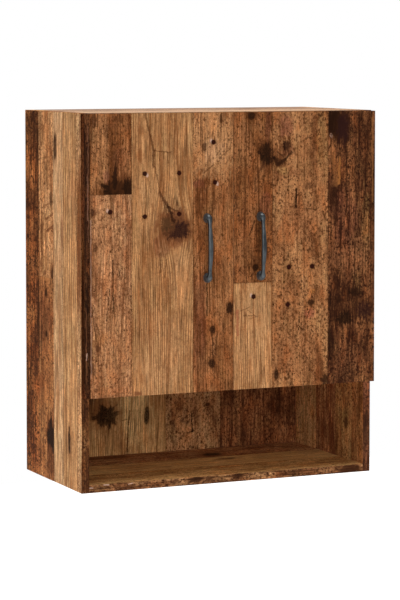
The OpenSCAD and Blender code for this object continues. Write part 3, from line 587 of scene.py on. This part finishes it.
# right side, seen from the right: the same boards in another order
wood("right_0", "yz", "dark", *UMBER, seed=21, marks=[
    ("patch", -40, -200, 22, 120, 0.5, SOOT[0])])
wood("right_1", "yz", "worm", *RUST, seed=22, span=RIGHT_Y[1:], marks=[
    ("nail", -118, -60), ("nail", -118, -420), ("knot", -140, -250, 10, 16, 0.9, BLACK)])
wood("right_2", "yz", "pine", *PINE, seed=23, span=RIGHT_Y[:2], marks=[
    ("knot", -205, -330, 18, 17, 0.95, (0.045, 0.014, 0.010)), ("nail", -205, -90)])
wood("right_3", "yz", "mid", *BROWN, seed=24, span=(None, RIGHT_Y[0]), marks=[
    ("patch", -265, -480, 16, 60, 0.5, SOOT[0])])

# inside walls; wall_back and wall_rear are paler than the planks outside: painted light, lifting the
# shade deep in the niche
wood("wall_front", "yz", "worm", (0.28, 0.106, 0.035), (0.075, 0.023, 0.006), (0.39, 0.17, 0.063),
     seed=31)
wood("wall_mid", "yz", "worm", (0.35, 0.145, 0.049), (0.085, 0.027, 0.008), (0.45, 0.23, 0.083),
     seed=32, span=WALL_Y[:2], marks=[
    ("patch", -216, -555, 22, 26, 0.5, (0.24, 0.14, 0.045)), ("knot", -224, -560, 7, 12, 0.7)])
# painted light: made paler to lift the shade at the back of the niche
wood("wall_back", "yz", "dark", (0.41, 0.163, 0.064), (0.15, 0.048, 0.018), (0.52, 0.24, 0.098),
     seed=33, span=WALL_Y[1:], marks=[
    ("patch", -150, -590, 22, 28, 0.5, SOOT[1])])
# painted light: made paler to lift the shade at the back of the niche
wood("wall_rear", "yz", "mid", (0.66, 0.33, 0.125), (0.28, 0.11, 0.04), (0.74, 0.42, 0.18), seed=34,
     span=(WALL_Y[2], None))

# back sheet
wood("back_0", "xz", "dark", (0.20, 0.068, 0.025), (0.05, 0.015, 0.006), (0.32, 0.12, 0.045), seed=41,
     span=(None, BACK_X[0]))
# painted light: back_1 and its pale patch are made paler, lifting the shade on the back of the niche
wood("back_1", "xz", "pine", (0.50, 0.26, 0.098), (0.22, 0.088, 0.028), (0.62, 0.35, 0.145), seed=42,
     span=BACK_X[:2], marks=[
    ("star", -134, -550, 25, 23, 1.0, BLACK), ("knot", -46, -556, 6, 18, 0.95, BLACK),
    ("line", -83, -544, -89, -624, 2.4, 0.85, BROWN[1]),
    ("line", -103, -563, -88, -560, 1.6, 0.6, BROWN[1]), ("patch", -154, -530, 24, 34, 0.9, SOOT[0]),
    ("patch", -74, -552, 40, 60, 0.9, (0.80, 0.50, 0.21)), ("patch", -120, -604, 40, 26, 0.3, BROWN[0]),
    ("knot", -95, -80, 14, 20, 0.9), ("nail", -30, -300)])
wood("back_2", "xz", "worm", (0.41, 0.188, 0.076), (0.11, 0.036, 0.011), (0.54, 0.28, 0.12), seed=43,
     span=BACK_X[1:], marks=[
    ("line", 51, -558, 54, -594, 2.2, 0.9), ("line", 44, -596, 56, -592, 1.6, 0.7),
    ("knot", 87, -541, 5, 4, 0.8, BLACK), ("nail", 30, -120), ("nail", 90, -120)])
wood("back_3", "xz", "dark", (0.24, 0.086, 0.031), (0.07, 0.021, 0.008), (0.38, 0.15, 0.058), seed=44,
     span=(BACK_X[2], None), marks=[
    ("patch", 205, -590, 30, 20, 0.4, BROWN[0])])

# boards that lie flat: grain along x
wood("flat_front", "yx", "mid", (0.56, 0.29, 0.103), (0.22, 0.088, 0.026), (0.64, 0.37, 0.145), seed=51,
     span=(None, FLAT_Y[0]), marks=[
    ("patch", -260, 140, 26, 120, 0.3, OLIVE[0])])
# painted light: flat_mid is made paler, lifting the shade on the niche floor; all the flat boards share
# it
wood("flat_mid", "yx", "pine", (0.68, 0.41, 0.16), (0.34, 0.155, 0.052), (0.76, 0.50, 0.22), seed=52,
     span=FLAT_Y, marks=[
    ("knot", -132, 70, 8, 22, 0.75), ("patch", -150, -120, 30, 90, 0.35, BROWN[0])])
wood("flat_back", "yx", "dark", (0.44, 0.19, 0.077), (0.15, 0.056, 0.020), (0.54, 0.27, 0.115), seed=53,
     span=(FLAT_Y[1], None), marks=[
    ("knot", -72, 66, 16, 24, 0.9, BLACK)])
wood("top_front", "yx", "pine", (0.64, 0.40, 0.235), (0.43, 0.235, 0.125), (0.74, 0.50, 0.33), seed=54,
     span=(None, TOP_Y), rough=0.45, gloss=0.5, marks=[
    ("patch", -240, 220, 30, 90, 0.35, RUST[0])])
wood("top_back", "yx", "mid", (0.46, 0.27, 0.16), (0.29, 0.14, 0.075), (0.57, 0.36, 0.22), seed=55,
     span=(TOP_Y, None), rough=0.45, gloss=0.5, marks=[
    ("strip", -20, 0, 26, 400, 0.75, (0.15, 0.085, 0.055)), ("knot", -90, 130, 12, 22, 0.8),
    ("nail", -70, -180)])

# edging strips
wood("edge_up", "xz", "edge", *EDGE, seed=61)
wood("edge_up_dark", "xz", "edge", (0.115, 0.040, 0.017), (0.04, 0.013, 0.006), (0.20, 0.068, 0.03),
     seed=62)
wood("edge_flat", "zx", "edge", (0.20, 0.080, 0.031), EDGE[1], (0.38, 0.19, 0.08), seed=63, marks=[
    ("star", -635, -70, 5, 16, 0.85, SOOT[1]), ("star", -634, 20, 5, 12, 0.7, SOOT[1]),
    ("line", -632, -256, -632, -246, 1.6, 0.6, CHIP), ("line", -634, -206, -633, -198, 1.6, 0.6, CHIP),
    ("line", -636, -284, -636, -278, 1.4, 0.5, CHIP)])


# ---------------------------------------------------------------- boards

JOIN = 2e-6        # vertices closer than this are one
EASE = 0.0003      # the radius of a board's edges
LONG_EDGE = 0.006  # shorter edges belong to bores, and stay sharp


def cut_board(node, body, cuts, pick):
    """A copy of a CAD board, cut at its plank joints, with a plank material on every face.

    cuts are (axis, place in mm, test on a face's centre in mm or None)."""
    mesh = NODES[node].data.copy()
    mesh.materials.clear()
    bm = bmesh.new()
    bm.from_mesh(mesh)
    bmesh.ops.remove_doubles(bm, verts=bm.verts, dist=JOIN)
    bmesh.ops.dissolve_limit(bm, angle_limit=0.01, verts=bm.verts, edges=bm.edges)
    for axis, at, where in cuts:
        faces = [f for f in bm.faces if where is None or where(f.calc_center_median() * MM)]
        geom = list({v for f in faces for v in f.verts}) + list({e for f in faces for e in f.edges})
        normal = Vector((0, 0, 0))
        normal["xyz".index(axis)] = 1.0
        bmesh.ops.bisect_plane(bm, geom=geom + faces, dist=1e-6, plane_co=normal * at / MM,
                               plane_no=normal)
    bm.normal_update()
    names = []
    for f in bm.faces:
        name = pick(f.calc_center_median() * MM, f.normal)
        if name not in names:
            names.append(name)
        f.material_index = names.index(name)
        f.smooth = False
    # only the board's own straight edges are eased
    weight = bm.edges.layers.float.new("bevel_weight_edge")
    for e in bm.edges:
        if len(e.link_faces) == 2 and e.calc_length() > LONG_EDGE:
            straight = max(abs(c) for c in (e.verts[0].co - e.verts[1].co).normalized()) > 0.9999
            if straight and e.calc_face_angle(0.0) > 1.2:
                e[weight] = 1.0
    bm.to_mesh(mesh)
    bm.free()
    for name in names:
        mesh.materials.append(woods[name])
    piece = bpy.data.objects.new(node + "_board", mesh)
    bpy.context.scene.collection.objects.link(piece)
    ease = piece.modifiers.new("eased edges", "BEVEL")
    ease.limit_method = "WEIGHT"
    ease.width = EASE
    ease.segments = 2
    ease.use_clamp_overlap = False
    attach(piece, body)
    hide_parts(node)
    return piece


OUTSIDE = 299   # a face centre this far from the middle is on the cabinet's outer side, in mm
MEETING = 3     # a face centre this near is where the doors meet
FACING = 0.9    # a normal with this much of an axis in it faces along it
MOSTLY = 0.5    # and with this much it leans that way, as in a bore
WALLS = ("wall_front", "wall_mid", "wall_back", "wall_rear")
FLATS = ("flat_front", "flat_mid", "flat_back")


def by(value, places, names):
    """The name of the plank that value falls in, between the joints at places."""
    return names[sum(value >= at for at in places)]


def parted(name, split, c, end):
    """The plank called split is two planks, which meet at the height end."""
    if name != split:
        return name
    return name + ("_top" if c.z > end else "_low")


def left_front(c, n):
    if n.x < -FACING and c.x < -OUTSIDE:
        return "front_edge"
    if n.x > FACING and c.x > -MEETING:
        return "meeting_edge_painted_light"
    name = by(c.x, DOOR_X[:3], ("front_0", "front_1", "front_2", "front_3"))
    return parted(name, "front_1", c, LEFT_END)


def right_front(c, n):
    if n.x < -FACING and c.x < MEETING:
        return "meeting_edge_painted_light"
    name = by(c.x, DOOR_X[3:], ("front_4", "front_5", "front_6"))
    return parted(name, "front_4", c, RIGHT_END)


def left_side(c, n):
    if n.y < -FACING:
        return "edge_up"
    if n.x > FACING or c.x > -OUTSIDE:
        return by(c.y, WALL_Y, WALLS)
    name = by(c.y, SIDE_Y, ("side_4", "side_3", "side_2", "side_1", "side_0"))
    return parted(name, "side_1", c, SIDE_END)


def right_side(c, n):
    if n.y < -FACING:
        return "edge_up_dark"
    if n.x < -FACING or c.x < OUTSIDE:
        return by(c.y, WALL_Y, WALLS)
    return by(c.y, RIGHT_Y, ("right_3", "right_2", "right_1", "right_0"))


def flat(c, n):
    return "edge_flat" if n.y < -FACING else by(c.y, FLAT_Y, FLATS)


def top(c, n):
    if n.z > MOSTLY:
        return by(c.y, (TOP_Y,), ("top_front", "top_back"))
    return flat(c, n)


def sheet(c, n):
    if n.y > MOSTLY:
        return "raw_back"
    return by(c.x, BACK_X, ("back_0", "back_1", "back_2", "back_3"))


def raw_board():
    """The unprinted brown fibreboard on the back of the nailed sheet."""
    s = Shader("raw_back")
    big = s.noise(s.place, 3.0, 0.6, 14.0)
    fine = s.noise(s.place, 3.0, 0.65, 900.0)
    col = s.mix(s.smooth(big, 0.35, 0.7), (0.215, 0.115, 0.056), (0.25, 0.138, 0.070))
    col = s.mix(s.smooth(fine, 0.45, 0.72, 0.55), col, (0.11, 0.055, 0.026))
    s.set(Base_Color=col, Roughness=s.math("MULTIPLY_ADD", fine, 0.2, 0.68))
    s.bump(fine, 0.3, 0.0003)
    woods["raw_back"] = s.mat


raw_board()


def joints(axis, places, where=None):
    return [(axis, at, where) for at in places]


cut_board("door_left", "left_door",
          joints("x", DOOR_X[:3])
          + joints("z", (LEFT_END,), lambda c: DOOR_X[0] < c.x < DOOR_X[1]), left_front)
cut_board("door_right", "right_door",
          joints("x", DOOR_X[3:]) + joints("z", (RIGHT_END,), lambda c: c.x < DOOR_X[3]), right_front)
cut_board("side_panel_left", "cabinet",
          joints("y", sorted(SIDE_Y + WALL_Y))
          + joints("z", (SIDE_END,), lambda c: SIDE_Y[2] < c.y < SIDE_Y[3] and c.x < -OUTSIDE),
          left_side)
cut_board("side_panel_right", "cabinet", joints("y", sorted(RIGHT_Y + WALL_Y)), right_side)
for name in ("bottom_panel", "divider_shelf", "loose_shelf", "hanging_rail"):
    cut_board(name, "cabinet", joints("y", FLAT_Y), flat)
cut_board("top_panel", "cabinet", joints("y", sorted(FLAT_Y + (TOP_Y,))), top)
cut_board("back_panel", "cabinet", joints("x", BACK_X), sheet)


# ---------------------------------------------------------------- metal

FEET_END = -0.3215    # y where the handles' feet turn into the bar, in metres
BAR_START = -0.3255   # and where the bar has its own section


def metal(name, base, rough, metallic=1.0, wear=0.15, scale=260.0, pits=0.1, painted_side_shade=False):
    """Plated or painted metal: cloudy tone, brushed or cast roughness, fine pits.
    With painted_side_shade, the sides of the bar, clear of the door, are painted near-black by their
    normal: painted shade."""
    s = Shader(name)
    cloud = s.noise(s.place, 3.0, 0.6, scale * 0.35)
    grit = s.noise(s.place, 3.0, 0.65, scale * 6.0)
    col = s.mix(s.smooth(cloud, 0.35, 0.7, wear), base, tuple(min(1.0, c * 1.6 + 0.03) for c in base))
    col = s.mix(s.smooth(cloud, 0.45, 0.25, wear), col, scaled(base, 0.55))
    # painted shade: where the bar's surface turns away from the front, its paint is darkened to
    # near-black
    if painted_side_shade:
        facing = s.split(s.tree.nodes.new("ShaderNodeTexCoord").outputs["Normal"])[1]
        facing = s.math("MULTIPLY_ADD", s.math("SUBTRACT", cloud, 0.5), 0.5, facing)
        side_shade = s.math("MULTIPLY", s.smooth(facing, -0.95, -0.6, 0.92),
                      s.smooth(s.split(s.place)[1], FEET_END, BAR_START))
        col = s.mix(side_shade, col, scaled(base, 0.18))
    s.set(Base_Color=col, Metallic=metallic)
    s.set(Roughness=s.math("MULTIPLY_ADD", s.math("ADD", cloud, grit), 0.18, rough - 0.18))
    s.bump(grit, pits, 0.0002)
    return s.mat


zinc = metal("zinc_plate", (0.62, 0.61, 0.58), 0.34)
nickel = metal("nickel_plate", (0.60, 0.59, 0.57), 0.27, wear=0.1)
# the handles' paint carries painted shade on the sides of the bar
handle_paint = metal("handle_paint", (0.046, 0.052, 0.055), 0.36, 0.6, 0.7, 180.0, 0.3, painted_side_shade=True)


def beech():
    s = Shader("dowel_beech")
    v = s.vector("MULTIPLY", s.place, (60.0, 900.0, 900.0))
    grain = s.noise(v, 3.0, 0.6)
    col = s.mix(s.smooth(grain, 0.35, 0.7), (0.62, 0.42, 0.24), (0.45, 0.27, 0.13))
    s.set(Base_Color=col, Roughness=s.math("MULTIPLY_ADD", grain, 0.2, 0.55))
    s.bump(grain, 0.2, 0.0002)
    return s.mat


def recoat(names, mat):
    for n in names:
        data = NODES[n].data
        data.materials.clear()
        data.materials.append(mat)


recoat(["shelf_pins", "back_nails", "cam_locks", "cam_bolts", "plate_screws", "arm_screws",
        "hinge_pins_left", "hinge_pins_right", "cup_screws_left", "cup_screws_right",
        "handle_screws_left", "handle_screws_right"], zinc)
recoat(["hinge_plates_left", "hinge_plates_right", "hinge_arms_left", "hinge_arms_right",
        "hinge_cups_left", "hinge_cups_right"], nickel)
recoat(["dowels"], beech())


# ---------------------------------------------------------------- handles

SIDES = 12   # points round the section, before smoothing


def bow_handle(node, body):
    """A cast bow pull: a foot at each end flows into a slim neck and a broader bow."""
    low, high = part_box(node)
    cx = (low[0] + high[0]) / 2
    cz = (low[2] + high[2]) / 2
    base = high[1]
    out = (base - low[1]) * MM
    half = (high[2] - low[2]) / 2 * MM
    wide = (high[0] - low[0]) / 2 * MM
    # (distance from the door, distance from the middle, share of the width, half thickness) in mm,
    # and how round the section is: 1 for an oval, less for a flat bar with rounded edges
    path = [(0.0, half - 10.2, 1.0, 9.4, 1.0), (1.2, half - 10.2, 1.02, 9.5, 1.0),
            (5.0, half - 10.0, 1.02, 9.3, 1.0), (9.0, half - 10.2, 0.99, 8.5, 1.0),
            (12.0, half - 12.0, 0.88, 6.4, 0.9), (13.8, half - 16.4, 0.60, 3.9, 0.75),
            (14.6, half - 21.5, 0.45, 3.1, 0.62), (15.4, half - 29.0, 0.48, 2.9, 0.58),
            (17.2, half - 42.0, 0.58, 2.9, 0.58), (out - 3.3, half - 54.0, 0.65, 2.9, 0.58),
            (out - 3.05, 0.0, 0.67, 2.9, 0.58)]
    points = path + [(p[0], -p[1], *p[2:]) for p in reversed(path[:-1])]
    bm = bmesh.new()
    rings = []
    for i, (y, z, rx, rt, power) in enumerate(points):
        before, after = points[max(i - 1, 0)], points[min(i + 1, len(points) - 1)]
        way = Vector((0.0, after[0] - before[0], after[1] - before[1]))
        if i in (0, len(points) - 1):
            way = Vector((0.0, 1.0 if i == 0 else -1.0, 0.0))
        way.normalize()
        normal = Vector((0.0, way.z, -way.y))
        ring = []
        for j in range(SIDES):
            t = 2 * math.pi * j / SIDES
            side = math.copysign(abs(math.cos(t)) ** power, math.cos(t))
            face = math.copysign(abs(math.sin(t)) ** power, math.sin(t))
            p = Vector((rx * wide * side, y, z)) + normal * (rt * face)
            place = (cx + p.x / MM, base - max(p.y, 0.0) / MM, cz + p.z / MM)
            ring.append(bm.verts.new(place))
        rings.append(ring)
    for one, two in zip(rings, rings[1:]):
        for j in range(SIDES):
            bm.faces.new((one[j], one[(j + 1) % SIDES], two[(j + 1) % SIDES], two[j]))
    bm.faces.new(rings[0])
    bm.faces.new(reversed(rings[-1]))
    bmesh.ops.recalc_face_normals(bm, faces=bm.faces)
    crease = bm.edges.layers.float.new("crease_edge")
    for ring in (rings[0], rings[-1]):
        for j in range(SIDES):
            bm.edges.get((ring[j], ring[(j + 1) % SIDES]))[crease] = 0.9
    for f in bm.faces:
        f.smooth = True
    mesh = bpy.data.meshes.new(node + "_bow")
    bm.to_mesh(mesh)
    bm.free()
    mesh.materials.append(handle_paint)
    piece = bpy.data.objects.new(node + "_bow", mesh)
    bpy.context.scene.collection.objects.link(piece)
    smooth = piece.modifiers.new("smooth", "SUBSURF")
    smooth.levels = smooth.render_levels = 2
    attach(piece, body)
    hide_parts(node)


bow_handle("handle_left", "left_door")
bow_handle("handle_right", "right_door")


# ---------------------------------------------------------------- stage, light and camera

FLOOR_DROP = 0.6   # the cabinet hangs this far above the floor


def backdrop():
    mesh = bpy.data.meshes.new("floor")
    bm = bmesh.new()
    bmesh.ops.create_grid(bm, x_segments=1, y_segments=1, size=3.0)
    bm.to_mesh(mesh)
    bm.free()
    floor = bpy.data.objects.new("floor", mesh)
    floor.location = (0.0, 0.0, cad_low[2] - FLOOR_DROP)
    bpy.context.scene.collection.objects.link(floor)
    s = Shader("pale_floor")
    s.set(Base_Color=(0.9, 0.9, 0.9), Roughness=0.9, Specular_IOR_Level=0.0)
    s.set(Emission_Color=(1.0, 1.0, 1.0), Emission_Strength=0.9)
    mesh.materials.append(s.mat)


def area(name, place, target, size, power, colour=(1.0, 1.0, 1.0)):
    data = bpy.data.lights.new(name, "AREA")
    data.shape = "RECTANGLE"
    data.size, data.size_y = size
    data.energy = power
    data.color = colour
    lamp = bpy.data.objects.new(name, data)
    lamp.location = place
    lamp.rotation_euler = (Vector(target) - Vector(place)).to_track_quat("-Z", "Y").to_euler()
    bpy.context.scene.collection.objects.link(lamp)


backdrop()
world = bpy.data.worlds.new("studio")
world.use_nodes = True
tree = world.node_tree
sky = tree.nodes["Background"]
sky.inputs["Color"].default_value = (1.0, 1.0, 1.0, 1.0)
sky.inputs["Strength"].default_value = 0.20
# seen straight on, the surroundings are plain white
white = tree.nodes.new("ShaderNodeBackground")
white.inputs["Color"].default_value = (1.0, 1.0, 1.0, 1.0)
either = tree.nodes.new("ShaderNodeMixShader")
tree.links.new(tree.nodes.new("ShaderNodeLightPath").outputs["Is Camera Ray"], either.inputs[0])
tree.links.new(sky.outputs[0], either.inputs[1])
tree.links.new(white.outputs[0], either.inputs[2])
tree.links.new(either.outputs[0], tree.nodes["World Output"].inputs["Surface"])
bpy.context.scene.world = world
# name, place, target, size, watts
area("front", (-0.8, -4.0, 0.65), (0.0, -0.2, -0.4), (2.4, 1.2), 40.0)
area("fill", (-0.9, -4.0, -0.35), (0.05, -0.2, -0.45), (2.0, 0.7), 18.0)
area("side", (-3.4, -1.2, 0.4), (0.0, -0.15, -0.3), (1.6, 1.6), 34.0)
area("top", (0.2, -0.4, 2.4), (0.0, -0.15, 0.0), (2.0, 1.6), 84.0)

LENS_MM = 146.502
SENSOR_MM = 36.0
SHIFT = -0.15      # of the frame's height, as the framing needs
EYE = (-1.93475, -4.43657, 0.17172)
TILT = 0.0658      # radians down from level
TURN = -0.4247     # radians about z from facing +y; minus turns towards +x
scene = bpy.context.scene
scene.view_settings.view_transform = "Standard"
scene.view_settings.look = "None"
camera = bpy.data.cameras.new("camera")
camera.sensor_fit = "VERTICAL"
camera.sensor_height = SENSOR_MM
camera.lens = LENS_MM
camera.shift_y = SHIFT
camera.clip_end = 100.0
eye = bpy.data.objects.new("camera", camera)
eye.location = EYE
eye.rotation_euler = (math.pi / 2 - TILT, 0.0, TURN)
scene.collection.objects.link(eye)
scene.camera = eye
